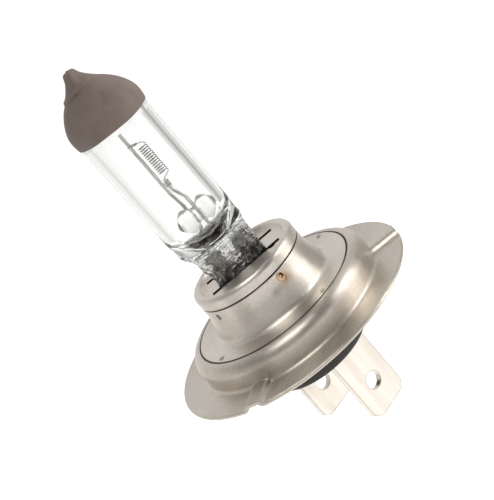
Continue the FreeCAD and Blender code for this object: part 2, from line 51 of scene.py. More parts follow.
# ------------------------------------------------------------------ helpers for node materials
class Build:
    """Makes and links shader nodes. Every step returns a (node, output) pair that feeds the next one."""

    def __init__(self, name):
        self.material = bpy.data.materials.new(name)
        self.material.use_nodes = True
        self.tree = self.material.node_tree
        self.tree.nodes.clear()
        self.output = self.node("ShaderNodeOutputMaterial")
        self.shader = self.node("ShaderNodeBsdfPrincipled")
        self.feed(self.output, "Surface", (self.shader, "BSDF"))

    def node(self, kind, **settings):
        made = self.tree.nodes.new(kind)
        for key, value in settings.items():
            if key in made.inputs:
                made.inputs[key].default_value = value
            else:
                setattr(made, key, value)
        return made

    def feed(self, target, into, value):
        """Link a (node, output) pair to a socket, or set a plain value on it."""
        if isinstance(value, tuple) and isinstance(value[0], bpy.types.Node):
            self.tree.links.new(value[0].outputs[value[1]], target.inputs[into])
        else:
            target.inputs[into].default_value = value

    def shade(self, **sockets):
        """Feed sockets of the surface shader; an underscore stands for a space."""
        for key, value in sockets.items():
            self.feed(self.shader, key.replace("_", " "), value)

    def position(self):
        return self.node("ShaderNodeTexCoord"), "Object"

    def noise(self, scale, detail=4.0, stretch=(1, 1, 1)):
        """Object-space noise; scale counts features per metre."""
        mapping = self.node("ShaderNodeMapping", Scale=stretch)
        self.feed(mapping, "Vector", self.position())
        tex = self.node("ShaderNodeTexNoise", Scale=scale, Detail=detail, Roughness=0.55)
        self.feed(tex, "Vector", (mapping, "Vector"))
        return tex, "Fac"

    def ramp(self, source, stops):
        """Colour ramp; stops are (place, colour)."""
        made = self.node("ShaderNodeValToRGB")
        elements = made.color_ramp.elements
        while len(elements) < len(stops):
            elements.new(0.5)
        for element, (place, colour) in zip(elements, stops):
            element.position = place
            element.color = (*colour, 1)
        self.feed(made, "Fac", source)
        return made, "Color"

    def range(self, source, low, high, to_low, to_high):
        made = self.node("ShaderNodeMapRange")
        for key, value in (("From Min", low), ("From Max", high), ("To Min", to_low), ("To Max", to_high)):
            self.feed(made, key, value)
        self.feed(made, "Value", source)
        return made, "Result"

    def maths(self, operation, *values):
        made = self.node("ShaderNodeMath", operation=operation)
        for into, value in enumerate(values):
            self.feed(made, into, value)
        return made, "Value"

    def vector(self, operation, out, *values):
        made = self.node("ShaderNodeVectorMath", operation=operation)
        for into, value in enumerate(values):
            self.feed(made, into, value)
        return made, out

    def mix(self, factor, base, top, mode="MIX"):
        made = self.node("ShaderNodeMix", data_type="RGBA", blend_type=mode)
        for into, value in ((MIX_FACTOR, factor), (MIX_BASE, base), (MIX_TOP, top)):
            self.feed(made, into, value)
        return made, MIX_OUT

    def bump(self, height, strength, distance, after=None):
        made = self.node("ShaderNodeBump", Strength=strength, Distance=distance)
        self.feed(made, "Height", height)
        if after is not None:
            self.feed(made, "Normal", after)
        return made, "Normal"


def measured(b, axes):
    """Length of the position along the given axes: (1, 1, 0) gives the distance from the lamp axis."""
    return b.vector("LENGTH", "Value", b.vector("MULTIPLY", "Vector", b.position(), axes))


def spin_marks(b):
    """Fine circular tooling marks round the lamp axis, from the distance to the axis and the height."""
    split = b.node("ShaderNodeSeparateXYZ")
    b.feed(split, "Vector", b.position())
    joined = b.node("ShaderNodeCombineXYZ")
    b.feed(joined, "X", measured(b, (1, 1, 0)))
    b.feed(joined, "Y", (split, "Z"))
    tex = b.node("ShaderNodeTexNoise", Scale=9000.0, Detail=3.0, Roughness=0.6)
    b.feed(tex, "Vector", (joined, "Vector"))
    return tex, "Fac"


def stain_and_painted_streak(b, colour, spot, reach, inner, outer):
    """Tinted spot round a point, with an uneven edge; it fades from the inner to the outer colour. It gives
    the heat tint by the weld, and also grey spots of painted reflection below the weld.
    """
    away = b.vector("DISTANCE", "Value", b.position(), spot)
    uneven = b.maths("MULTIPLY_ADD", b.noise(1500.0, 3.0), reach * 0.5, away)
    fade = b.range(uneven, reach * 0.25, reach * 1.25, 1.0, 0.0)
    tint = b.ramp(b.range(uneven, reach * 0.45, reach * 0.9, 0.0, 1.0), [(0.0, inner), (1.0, outer)])
    return b.mix(fade, colour, tint)


def painted_gap_shade(b, colour, axes, middle, half):
    """Line of painted shade in the gap between two parts, where the radius or the height, as the axes say, is
    at its middle, in millimetres.
    """
    apart = b.maths("ABSOLUTE", b.maths("SUBTRACT", measured(b, axes), middle * MM))
    return b.mix(b.range(apart, half * 0.5 * MM, half * MM, 0.92, 0.0), colour, (0.03, 0.024, 0.018, 1))


def painted_slit_shade(b, colour, radius):
    """Painted shade on the upright walls that lie within a radius, in millimetres: it darkens the walls of
    the slits as the shade in their depth.
    """
    facing = b.node("ShaderNodeSeparateXYZ")
    b.feed(facing, "Vector", (b.node("ShaderNodeNewGeometry"), "True Normal"))
    wall = b.range(b.maths("ABSOLUTE", (facing, "Z")), 0.2, 0.6, 0.92, 0.0)
    inside = b.range(measured(b, (1, 1, 0)), radius * MM, (radius + 0.05) * MM, 1.0, 0.0)
    return b.mix(b.maths("MULTIPLY", wall, inside), colour, (0.035, 0.029, 0.024, 1))


def drawn_steel(name, tones, roughness, stains_and_streaks=(), shaded_gaps=(), corner=0.0, slit_shade_radius=0.0):
    """Plated, deep-drawn sheet steel: satin, faintly clouded, with turning marks.

    tones are the light and the dark colour, roughness is its least and its most.
    The two lists give the values for the tinted spots, which are heat tint and grey spots of painted
    reflection, and for the lines of painted shade in the gaps between parts.
    corner is the radius in metres that edges are worn to.
    """
    b = Build(name)
    light, dark = tones
    cloud = b.noise(260.0, 5.0)
    speck = b.noise(2600.0, 3.0)
    colour = b.mix(0.6, b.ramp(cloud, [(0.3, dark), (0.7, light)]),
                   b.ramp(speck, [(0.35, (0.86, 0.85, 0.84)), (0.6, (1, 1, 1))]), "MULTIPLY")
    # heat tint, and grey spots of painted reflection
    for tinted_spot in stains_and_streaks:
        colour = stain_and_painted_streak(b, colour, *tinted_spot)
    # painted shade in the gaps between parts
    for shaded_gap in shaded_gaps:
        colour = painted_gap_shade(b, colour, *shaded_gap)
    # painted shade on the walls of the slits in the clip
    if slit_shade_radius:
        colour = painted_slit_shade(b, colour, slit_shade_radius)
    worn = (b.node("ShaderNodeBevel", samples=4, Radius=corner), "Normal") if corner else None
    lines = b.bump(spin_marks(b), 0.12, 0.00002, worn)
    b.shade(Base_Color=colour, Roughness=b.range(cloud, 0.3, 0.7, *roughness),
            Normal=b.bump(speck, 0.05, 0.00003, lines),
            Tangent=(b.node("ShaderNodeTangent", direction_type="RADIAL", axis="Z"), "Tangent"),
            Metallic=1.0, Anisotropic=0.7, Anisotropic_Rotation=0.25)
    return b.material


def blade_steel(name):
    """Bright tinned blade with faint lengthwise rolling marks, darker along its rounded edges."""
    b = Build(name)
    streak = b.noise(900.0, 5.0, (1.0, 1.0, 0.06))
    tone = b.ramp(streak, [(0.3, (0.66, 0.60, 0.53)), (0.65, (0.78, 0.72, 0.65))])
    rounded = (b.node("ShaderNodeBevel", samples=4, Radius=0.00028), "Normal")
    flat = (b.node("ShaderNodeNewGeometry"), "True Normal")
    # darker along the rounded edges, where the rounded normal turns away from the flat one
    edge_darkening = b.range(b.vector("DOT_PRODUCT", "Value", rounded, flat), 0.80, 0.99, 0.85, 0.0)
    rolled = b.bump(streak, 0.10, 0.00002, rounded)
    b.shade(Base_Color=b.mix(edge_darkening, tone, (0.17, 0.14, 0.11, 1)),
            Roughness=b.range(streak, 0.3, 0.7, 0.34, 0.24),
            Normal=b.bump(b.noise(700.0, 4.0), 0.06, 0.00004, rolled),
            Metallic=1.0)
    return b.material


def scorched(b, colour, spot, reach, colours):
    """Burnt colours by the distance from a point; the metal's own colour takes over past the reach."""
    away = b.vector("DISTANCE", "Value", b.position(), spot)
    burn = b.ramp(b.range(away, 0.0, reach, 0.0, 1.0), colours)
    return b.mix(b.range(away, reach, reach * 1.3, 0.0, 1.0), burn, colour)


def dull_wire(name, light, dark, rough=0.38, burn=None, crumple=0.0):
    """Refractory metal wire or foil: grey, drawn, a little patchy.

    burn holds the point, reach and colours that scorched takes; crumple is the depth of folds in metres.
    """
    b = Build(name)
    patch = b.noise(2200.0, 4.0, (1, 1, 0.35))
    colour = b.ramp(patch, [(0.3, dark), (0.7, light)])
    if burn:
        colour = scorched(b, colour, *burn)
    relief = b.bump(patch, 0.15, 0.00002)
    if crumple:
        relief = b.bump(b.noise(950.0, 2.0, (1, 1, 0.45)), 1.0, crumple, relief)
    b.shade(Base_Color=colour, Roughness=b.range(patch, 0.3, 0.7, rough + 0.08, rough - 0.06), Normal=relief,
            Metallic=1.0)
    return b.material


def clear_quartz(name, ripple=0.05, tint=(1, 1, 1), crush=0.0, smoke=70.0):
    """Clear fused quartz with faint draw lines; crush gives the rough folds of the pressed foot.

    smoke is the very slight greyness that shows where the wall is seen edge on.
    """
    b = Build(name)
    crushed_below, smooth_above = 0.0128, 0.0148
    waves = b.noise(420.0, 2.0, (1, 1, 0.25))
    split = b.node("ShaderNodeSeparateXYZ")
    b.feed(split, "Vector", b.position())
    pressed = b.range((split, "Z"), crushed_below, smooth_above, crush, 0.0)
    folds = b.maths("MULTIPLY", b.noise(1100.0, 3.0, (1, 1, 0.6)), pressed)
    b.shade(Base_Color=b.ramp(waves, [(0.2, tint), (0.8, (1, 1, 1))]),
            Normal=b.bump(folds, 1.0, 0.0013, b.bump(waves, ripple, 0.00012)),
            Roughness=0.0, IOR=1.46, Transmission_Weight=1.0)
    depth = b.node("ShaderNodeVolumeAbsorption", Color=(0.50, 0.54, 0.51, 1), Density=smoke)
    b.feed(b.output, "Volume", (depth, "Volume"))
    return b.material


def mask_paint(name):
    """Matte ceramic anti-glare paint: warm grey-brown, fine grained, uneven in thickness."""
    b = Build(name)
    grain = b.noise(5200.0, 3.0)
    cloud = b.noise(330.0, 4.0)
    tone = b.ramp(cloud, [(0.3, (0.140, 0.106, 0.087)), (0.72, (0.192, 0.147, 0.121))])
    fine = b.ramp(grain, [(0.3, (0.9, 0.9, 0.9)), (0.7, (1.05, 1.05, 1.05))])
    b.shade(Base_Color=b.mix(1.0, tone, fine, "MULTIPLY"), Roughness=b.range(grain, 0.3, 0.7, 0.62, 0.78),
            Normal=b.bump(cloud, 0.12, 0.0001, b.bump(grain, 0.12, 0.00003)))
    return b.material


def moulded_black(name):
    """Black moulded insulator with a fine matte grain."""
    b = Build(name)
    grain = b.noise(3500.0, 4.0)
    b.shade(Base_Color=b.ramp(grain, [(0.3, (0.012, 0.010, 0.008)), (0.75, (0.030, 0.026, 0.021))]),
            Roughness=b.range(grain, 0.3, 0.7, 0.5, 0.66), Normal=b.bump(grain, 0.2, 0.00003))
    return b.material


def glowing_cloth(name, low, high, scale, emission, strength, rough):
    """Studio surface between two greys that also glows, so that it reads as evenly lit."""
    b = Build(name)
    b.shade(Base_Color=b.ramp(b.noise(scale, 2.0), [(0.3, (low,) * 3), (0.7, (high,) * 3)]), Roughness=rough,
            Emission_Color=emission, Emission_Strength=strength)
    return b.material


# ------------------------------------------------------------------ materials
def polar(angle, radius, height):
    """Point in metres from an angle in degrees and a radius and height in millimetres."""
    turn = math.radians(angle)
    return Vector((radius * math.cos(turn), radius * math.sin(turn), height)) * MM


# axes along which a line of painted gap shade is placed, and the sizes in millimetres that these lines and
# the welds are placed from
RADIUS, HEIGHT = (1, 1, 0), (0, 0, 1)
SLEEVE_RADIUS, SEAM_HEIGHT, DISC_RADIUS = 7.55, 8.29, 11.4

cap_tones = (0.66, 0.605, 0.54), (0.55, 0.50, 0.435)
collar_tones = (0.72, 0.67, 0.61), (0.61, 0.56, 0.50)
copper_burn = [(0.0, (0.012, 0.008, 0.007)), (0.2, (0.05, 0.02, 0.012)), (0.36, (0.62, 0.36, 0.24)),
               (0.6, (0.66, 0.44, 0.30)), (1.0, (0.34, 0.18, 0.09))]
weld_stain = (polar(-98.6, SLEEVE_RADIUS, 6.95), 0.0013, (0.30, 0.16, 0.07), (0.60, 0.42, 0.24))
# grey spots of painted reflection: a dark streak on the sleeve below and beside the weld
weld_painted_reflections = [(polar(angle, SLEEVE_RADIUS + 0.05, 6.62), 0.0008, (0.44, 0.405, 0.36), (0.55, 0.51, 0.46))
               for angle in (-103, -107, -111, -114)]

materials = {
    # the dark lines given to the cap, the collar and the clip are painted shade in the gaps where these parts
    # meet
    "cap_metal": drawn_steel("cap_steel", cap_tones, (0.34, 0.42),
                             shaded_gaps=[(RADIUS, DISC_RADIUS + 0.05, 0.13)], corner=0.0003),
    "collar_metal": drawn_steel("collar_steel", collar_tones, (0.33, 0.40), weld_painted_reflections + [weld_stain],
                                [(RADIUS, DISC_RADIUS - 0.015, 0.135), (HEIGHT, SEAM_HEIGHT - 0.025, 0.075)]),
    # the clip's upright walls within 6 mm of the axis get painted shade, for the slits
    "clip_metal": drawn_steel("clip_steel", collar_tones, (0.33, 0.40),
                              shaded_gaps=[(HEIGHT, SEAM_HEIGHT + 0.025, 0.075)], corner=0.0001, slit_shade_radius=6.0),
    "quartz_glass": clear_quartz("quartz", crush=1.0),
    "bead_glass": clear_quartz("bead_quartz", 0.12, (0.99, 0.97, 0.96), smoke=90.0),
    "antiglare_paint": mask_paint("mask_paint"),
    "tungsten": dull_wire("tungsten", (0.30, 0.28, 0.25), (0.17, 0.16, 0.145)),
    "lead_metal": dull_wire("molybdenum", (0.62, 0.62, 0.58), (0.44, 0.44, 0.41)),
    "clamp_metal": dull_wire("clamp_alloy", (0.52, 0.51, 0.48), (0.36, 0.355, 0.33)),
    "foil_metal": dull_wire("foil", (0.62, 0.60, 0.56), (0.20, 0.19, 0.18), 0.28, crumple=0.0007),
    "outer_lead_metal": dull_wire("nickel_wire", (0.55, 0.53, 0.49), (0.36, 0.35, 0.32)),
    "nugget_metal": dull_wire("nugget", (0.45, 0.42, 0.38), (0.25, 0.23, 0.21), 0.45),
    "weld_metal": dull_wire("weld_copper", (0.34, 0.31, 0.27), (0.20, 0.18, 0.16), 0.4,
                            burn=(polar(-99.6, SLEEVE_RADIUS - 0.03, 7.55), 0.0012, copper_burn)),
    "spot_metal": dull_wire("spot", (0.52, 0.48, 0.43), (0.30, 0.27, 0.24), 0.42),
    "insulator_plastic": moulded_black("insulator_black"),
    "blade_metal": blade_steel("blade_tin"),
}

slots = {part["node"]: part["material_slot"] for part in frame["record"]["subparts"]}
for name, obj in nodes.items():
    obj.data.materials.clear()
    obj.data.materials.append(materials[slots[name]])


# ------------------------------------------------------------------ helpers for the detailed pieces
def keep(obj, replaced, slot):
    """A finished piece: rides with the lamp and stands for its CAD nodes."""
    obj.data.materials.clear()
    obj.data.materials.append(materials[slot])
    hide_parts(*replaced)
    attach(obj, "root")


def turned(degrees):
    """Unit vectors lying flat: one turned from +X by the angle, and the one a quarter turn on from it."""
    turn = math.radians(degrees)
    first = Vector((math.cos(turn), math.sin(turn), 0))
    return first, Vector((-first.y, first.x, 0))


# along and across follow the flat pinch; side and back follow the filament and its supports
along, across = turned(-30.0)
side, back = turned(-28.0)
glass_centre = Vector((-0.78, 0.42, 0))
pinch_centre = along * -0.36


def up(z):
    return Vector((0, 0, z))


def support(s, b, z):
    """Point in metres, placed along side, back and up in millimetres."""
    return (side * s + back * b + up(z)) * MM


def ease(value, low, high):
    """0 below low, 1 above high, smooth between."""
    t = min(1.0, max(0.0, (value - low) / (high - low)))
    return t * t * (3 - 2 * t)


def hump(value, middle, width):
    """1 at the middle, falling away smoothly on both sides."""
    return math.exp(-((value - middle) / width) ** 2)


def steps(low, high, count):
    return [low + (high - low) * i / count for i in range(count + 1)]


def turns(count):
    """Angles of evenly spaced points once round a ring."""
    return [2 * math.pi * i / count for i in range(count)]


def mesh_object(name, bm, outward=True):
    """Smooth object from a bmesh; outward is False where an inner skin has to keep facing in."""
    if outward:
        bmesh.ops.recalc_face_normals(bm, faces=bm.faces)
    mesh = bpy.data.meshes.new(name)
    bm.to_mesh(mesh)
    bm.free()
    mesh.shade_smooth()
    obj = bpy.data.objects.new(name, mesh)
    scene.collection.objects.link(obj)
    return obj


def loft(bm, rings, flip=False):
    """Skin over closed rings of points in millimetres; both ends are closed with a fan."""
    rows = [[bm.verts.new(point * MM) for point in ring] for ring in rings]
    count = len(rows[0])
    for low, high in zip(rows, rows[1:]):
        for i in range(count):
            j = (i + 1) % count
            corners = (low[i], low[j], high[j], high[i])
            bm.faces.new(tuple(reversed(corners)) if flip else corners)
    for row, down in ((rows[0], True), (rows[-1], False)):
        middle = bm.verts.new(sum((v.co for v in row), Vector()) / count)
        for i in range(count):
            j = (i + 1) % count
            corners = (row[j], row[i], middle) if down else (row[i], row[j], middle)
            bm.faces.new(tuple(reversed(corners)) if flip else corners)


def strand(name, runs, radius, bevel):
    """Smooth round wire through points in metres, as a plain mesh; a piece may have several runs."""
    curve = bpy.data.curves.new(name, "CURVE")
    curve.dimensions = "3D"
    curve.bevel_depth = radius * MM
    curve.bevel_resolution = bevel
    curve.resolution_u = 8
    curve.use_fill_caps = True
    for points in runs:
        spline = curve.splines.new("NURBS")
        spline.points.add(len(points) - 1)
        for spline_point, point in zip(spline.points, points):
            spline_point.co = (*point, 1)
        spline.order_u = 4
        spline.use_endpoint_u = True
    wire = bpy.data.objects.new(name, curve)
    scene.collection.objects.link(wire)
    mesh = bpy.data.meshes.new_from_object(wire.evaluated_get(bpy.context.evaluated_depsgraph_get()))
    bpy.data.objects.remove(wire)
    mesh.shade_smooth()
    made = bpy.data.objects.new(name, mesh)
    scene.collection.objects.link(made)
    return made


# ------------------------------------------------------------------ quartz tube, sizes in millimetres
RING_POINTS = 128
TUBE_RADIUS, PINCH_WIDE, PINCH_DEEP = 4.8, 3.65, 1.5
PINCH_FOOT, BOWL_TOP, BOWL_DEPTH = 5.2, 17.9, 3.9
BORE_RADIUS, BORE_FOOT, BORE_DOME, BORE_TOP = 3.75, 14.95, 33.0, 38.5
DOME_RADIUS, DOME_START, GLASS_TIP = 5.02, 33.6, 40.55

# flank points: height above the dome's start, and how far the radius has drawn in
# nipple points: depth below the tip, and the radius there
FLANK = (-1.6, 0.2), (0.0, 0.0), (1.0, 0.1), (2.0, 0.52), (2.9, 1.1), (3.8, 1.9), (4.6, 2.8)
NIPPLE = (1.6, 1.5), (0.9, 0.98), (0.4, 0.76), (0.08, 0.5), (0.0, 0.05)
DOME = ([(DOME_START + rise, DOME_RADIUS - inset) for rise, inset in FLANK]
        + [(GLASS_TIP - depth, radius) for depth, radius in NIPPLE])


def dome_radius(z):
    """Radius of the drawn-off dome at a height: a smooth curve through its points."""
    if z <= DOME[0][0]:
        return DOME[0][1]
    for i, ((z0, r0), (z1, r1)) in enumerate(zip(DOME, DOME[1:])):
        if z <= z1:
            before, after = DOME[max(0, i - 1)], DOME[min(len(DOME) - 1, i + 2)]
            slope0 = (r1 - before[1]) / (z1 - before[0])
            slope1 = (after[1] - r0) / (after[0] - z0)
            h = z1 - z0
            t = (z - z0) / h
            return ((2 * t**3 - 3 * t**2 + 1) * r0 + (t**3 - 2 * t**2 + t) * h * slope0
                    + (3 * t**2 - 2 * t**3) * r1 + (t**3 - t**2) * h * slope1)
    return DOME[-1][1]


def outer_ring(z):
    """Outline of the quartz at a height: flat pinch below, round tube above.

    Each feature comes and goes between the two heights, or the two distances, that ease is given.
    """
    bowl = math.sqrt(1 - (min(BOWL_DEPTH - 0.05, BOWL_TOP - z) / BOWL_DEPTH) ** 2) if z < BOWL_TOP else 1.0
    root = ease(z, 12.9, 14.6)
    wide = PINCH_WIDE + (TUBE_RADIUS - PINCH_WIDE) * root * (0.2 + 0.8 * bowl)
    deep = PINCH_DEEP + (TUBE_RADIUS - PINCH_DEEP) * root * (0.12 + 0.88 * bowl)
    square = 2.0 + 5.0 * (1 - ease(z, 12.8, 14.8))
    centre = pinch_centre.lerp(glass_centre, ease(z, 13.0, 16.0))
    if z > 31.0:
        # the paint's hollows need room, so the glass under them is a little slimmer
        wide = deep = max(0.03, dome_radius(z) - 0.2 * ease(z, 35.5, 37.5))
    panel = ease(z, 6.0, 7.0) * (1 - ease(z, 11.8, 12.6))
    mould = ease(z, 9.0, 10.0) * (1 - ease(z, 13.6, 15.0))
    flare = ease(z, 9.8, 12.5)
    fold = ease(z, 12.4, 13.6) * (1 - ease(z, 14.4, 16.0))
    ring = []
    for turn in turns(RING_POINTS):
        c, s = math.cos(turn), math.sin(turn)
        u = wide * math.copysign(abs(c) ** (2 / square), c)
        v = deep * math.copysign(abs(s) ** (2 / square), s)
        v -= math.copysign(0.32 * panel * (1 - ease(abs(u), 2.3, 2.9)), v)
        wave = noise.noise(Vector((u * 1.1, z * 0.9, 3.0 if v > 0 else 9.0)))
        crease = noise.noise(Vector((u * 2.4, z * 1.7, 5.0 if v > 0 else 11.0)))
        v += math.copysign(mould * (0.5 * wave + 0.26 * crease), v)
        u += math.copysign(0.3 * flare * (1 - ease(z, 13.5, 16.4)), u)
        u -= 0.12 * flare * (1 - ease(z, 14.0, 16.4))
        u += 0.18 * fold * noise.noise(Vector((c * 2.2, s * 2.2, z * 0.9)))
        v += 0.18 * fold * noise.noise(Vector((c * 2.2 + 7, s * 2.2, z * 0.9)))
        ring.append(centre + along * u + across * v + up(z))
    return ring


def bore_ring(z):
    """Bore of the tube: rounded and slightly pressed foot, straight wall, domed end."""
    rise = min(1.0, (z - BORE_FOOT) / 2.9)
    radius = BORE_RADIUS * math.sqrt(max(0.0, 1 - (1 - rise) ** 2))
    if z > BORE_DOME:
        height = (z - BORE_DOME) / (BORE_TOP - BORE_DOME)
        radius = min(radius, BORE_RADIUS * math.sqrt(max(0.0, 1 - height ** 2)) ** 1.25)
    radius = max(radius, 0.03)
    press = 1 - 0.12 * (1 - ease(z, 15.0, 16.8))
    sag = 0.35 * (1 - ease(z, 14.9, 16.4))
    centre = glass_centre.lerp(pinch_centre, 0.3 * (1 - ease(z, 14.9, 17.0)))
    ring = []
    for turn in turns(RING_POINTS):
        u, v = radius * math.cos(turn), radius * math.sin(turn) * press
        u += sag * noise.noise(Vector((u * 0.8, v * 0.8, 4.0)))
        v += sag * noise.noise(Vector((u * 0.8, v * 0.8, 8.0)))
        ring.append(centre + along * u + across * v + up(z))
    return ring


quartz = bmesh.new()
outer_heights = steps(PINCH_FOOT, 16.6, 110) + steps(17.2, 32.0, 20)[:-1] + steps(32.0, GLASS_TIP + 0.03, 60)
bore_heights = steps(BORE_FOOT + 0.01, 17.2, 30) + steps(18.0, 33.0, 14) + steps(33.3, BORE_TOP - 0.01, 30)
loft(quartz, [outer_ring(z) for z in outer_heights])
loft(quartz, [bore_ring(z) for z in bore_heights], flip=True)
keep(mesh_object("quartz_tube", quartz, outward=False), ["glass_envelope"], "quartz_glass")

# ------------------------------------------------------------------ masking paint
PAINT_EDGE, PAINT_TIP, PAINT_THICK, PAINT_ROWS = 32.66, 40.64, 0.1, 120


def paint_point(turn, share):
    """Point of the paint's skin at an angle, a share of the way up from its uneven lower edge to the tip."""
    edge = PAINT_EDGE + 0.06 * math.sin(turn * 2 + 0.6) + 0.03 * math.sin(turn * 5)
    z = edge + (PAINT_TIP - edge) * share
    front = max(0.0, math.cos(turn + 2.6))
    fold_height = 38.35 + 0.35 * math.cos(turn + 1.2)
    crest = ease(z, 38.6, 39.4) * (1 - ease(z, 40.1, 40.6)) * max(0.0, math.cos(turn + 2.2)) ** 14
    fold = hump(z, fold_height, 0.22) * front ** 0.5
    hollow = hump(z, fold_height - 0.45, 0.3) * front
    pit = hump(z, 36.6, 0.16) * hump(math.remainder(turn + 1.75, 2 * math.pi), 0, 0.05)
    radius = dome_radius(z - 0.03) + PAINT_THICK + 0.34 * crest + 0.30 * fold - 0.20 * hollow - 0.14 * pit
    return glass_centre + Vector((radius * math.cos(turn), radius * math.sin(turn), z))


def lip_point(point, step):
    """Point of the rounded lip under the paint's edge, drawn in towards the glass."""
    off = point - glass_centre
    shrink = 1 - 0.007 * (step + 1)
    return glass_centre + Vector((off.x * shrink, off.y * shrink, off.z - 0.015 * step))


skin = [[paint_point(turn, k / PAINT_ROWS) for turn in turns(RING_POINTS)] for k in range(PAINT_ROWS + 1)]
lip = [[lip_point(point, step) for point in skin[0]] for step in (2, 1, 0)]
paint = bmesh.new()
loft(paint, lip + skin)
keep(mesh_object("masked_tip", paint), ["antiglare_coating"], "antiglare_paint")

# ------------------------------------------------------------------ glass bridge
BRIDGE_HALF, BRIDGE_RADIUS, BRIDGE_HEIGHT, BRIDGE_ROWS = 2.95, 1.72, 17.75, 48


def bridge_ring(t):
    """Ring of the glass bar pressed round the leads, swollen at both ends; t runs from -1 to 1 along it."""
    lobes = math.sqrt(max(0.0, 1 - t**4)) * (0.84 + 0.22 * math.cos(2 * math.pi * (abs(t) - 0.52)))
    radius = max(0.02, BRIDGE_RADIUS * lobes)
    ring = []
    for turn in turns(48):
        c, s = math.cos(turn), math.sin(turn)
        swell = radius * (1 + 0.09 * noise.noise(Vector((t * 2.2, c * 1.1, s * 1.1))))
        ring.append(side * (-0.3 + BRIDGE_HALF * t) + back * (0.25 + 0.9 * swell * c)
                    + up(BRIDGE_HEIGHT + 0.12 * t + swell * s))
    return ring


bridge = bmesh.new()
loft(bridge, [bridge_ring(t) for t in steps(-1, 1, BRIDGE_ROWS)])
keep(mesh_object("glass_bridge", bridge), ["lead_bridge_bead"], "bead_glass")

# ------------------------------------------------------------------ filament and its clamps
COIL_TURNS, COIL_STEPS, COIL_RADIUS, COIL_START, COIL_LENGTH = 13, 16, 0.6, 24.4, 4.1
LEG_END_HEIGHT = 29.03

# fine leg, single coil, fine leg
coil_points = [support(-0.6, 0.33, 22.75), support(-0.6, 0.33, 23.4), support(-0.5, 0.25, 23.85),
               support(0.1, 0.0, 24.0), support(0.5, -0.05, 24.2)]
for i in range(COIL_TURNS * COIL_STEPS + 1):
    turn = 2 * math.pi * i / COIL_STEPS
    height = COIL_START + COIL_LENGTH * i / (COIL_TURNS * COIL_STEPS)
    coil_points.append(support(COIL_RADIUS * math.cos(turn), COIL_RADIUS * math.sin(turn), height))
coil_points += [support(0.35, 0.25, 28.8), support(0.05, 0.15, 28.98), support(-0.3, 0.2, LEG_END_HEIGHT)]
keep(strand("filament", [coil_points], 0.05, 3), ["filament_coil"], "tungsten")

# front clamp: a hairpin of flat wire hooked round the long lead, gripping the leg in its bend
start, end = Vector((-1.18, 1.62)), Vector((-0.16, -0.02))
run = (end - start).normalized()
over = Vector((-run.y, run.x))
loop = []
for turn in turns(24):
    near_leg = math.cos(turn) > 0
    middle = end - run * 0.62 if near_leg else start + run * 0.12
    spot = middle + run * (math.cos(turn) * 0.34) + over * (math.sin(turn) * (0.26 if near_leg else 0.31))
    loop.append(support(*spot, LEG_END_HEIGHT))
grip = [support(*(end - run * gap), LEG_END_HEIGHT) for gap in (0.36, 0.2, 0.0)]
keep(strand("eyelet", [loop + loop[:3], grip], 0.085, 4), ["front_filament_clamp"], "clamp_metal")

# rear clamp: the short lead's end is wrapped by two turns of wire that hold the leg
wrap = []
for i in range(26):
    turn = 2 * math.pi * i / 12
    wrap.append(support(-0.6 + 0.33 * math.cos(turn), 0.1 + 0.36 * math.sin(turn), 22.68 + 0.028 * i))
keep(strand("rear_crimp", [wrap], 0.1, 4), ["rear_filament_clamp"], "clamp_metal")


# ------------------------------------------------------------------ collar welds
WELD_HEIGHT = 7.35


def crater(bm, angle, size, pit):
    """Weld crater on the sleeve: raised lip, shallow floor, and a pit to one side (a bead if negative)."""
    out = polar(angle, 1, 0).normalized()
    round_way = Vector((-out.y, out.x, 0))
    rows = []
    for k in range(9):
        reach = size * (1 - k / 8)
        lift = 0.05 * hump(reach / size, 0.62, 0.2) - 0.045 * (1 - reach / size) + 0.012
        row = []
        for turn in turns(28):
            swell = 1 + 0.12 * noise.noise(Vector((math.cos(turn), math.sin(turn), angle)))
            a, b = reach * swell * math.cos(turn), reach * 1.35 * swell * math.sin(turn)
            away = math.hypot(a / size - pit * 0.25, b / size - pit * 0.4)
            depth = lift - 0.05 * pit * hump(away, 0, 0.3) if k else -0.03
            curve = a * a / (2 * SLEEVE_RADIUS)
            row.append(out * (SLEEVE_RADIUS + 0.005 + depth - curve) + round_way * a + up(WELD_HEIGHT + b))
        rows.append(row)
    loft(bm, rows)


welds = bmesh.new()
for angle, size, pit in ((-101, 0.50, 1.0), (-178, 0.34, -0.5), (41, 0.42, 0.8)):
    crater(welds, angle, size, pit)
keep(mesh_object("weld_craters", welds), ["collar_weld_spots"], "weld_metal")


# ------------------------------------------------------------------ camera, floor and light, in metres
FLOOR_HEIGHT, FLOOR_HALF = -0.06, 6
CARD_FOOT = FLOOR_HEIGHT + 0.001


def toward(azimuth, elevation):
    """Unit vector from the lamp; azimuth 0 is the -Y side, and it grows towards +X."""
    a, e = math.radians(azimuth), math.radians(elevation)
    return Vector((math.sin(a) * math.cos(e), -math.cos(a) * math.cos(e), math.sin(e)))


def aimed_back(direction):
    """Rotation of a camera or light that stands in a direction from the lamp and faces it."""
    return (-direction).to_track_quat("-Z", "Y")


def look(azimuth, elevation, distance, target, roll, lens):
    """Camera at a distance from its target, turned in the picture by a roll in degrees."""
    camera = bpy.data.objects.new("camera", bpy.data.cameras.new("camera"))
    scene.collection.objects.link(camera)
    direction = toward(azimuth, elevation)
    camera.rotation_mode = "QUATERNION"
    camera.location = target + direction * distance
    camera.rotation_quaternion = aimed_back(direction) @ Quaternion((0, 0, 1), math.radians(roll))
    camera.data.lens = lens
    camera.data.sensor_width = 36.0
    camera.data.clip_start = 0.01
    camera.data.clip_end = 20.0
    scene.camera = camera


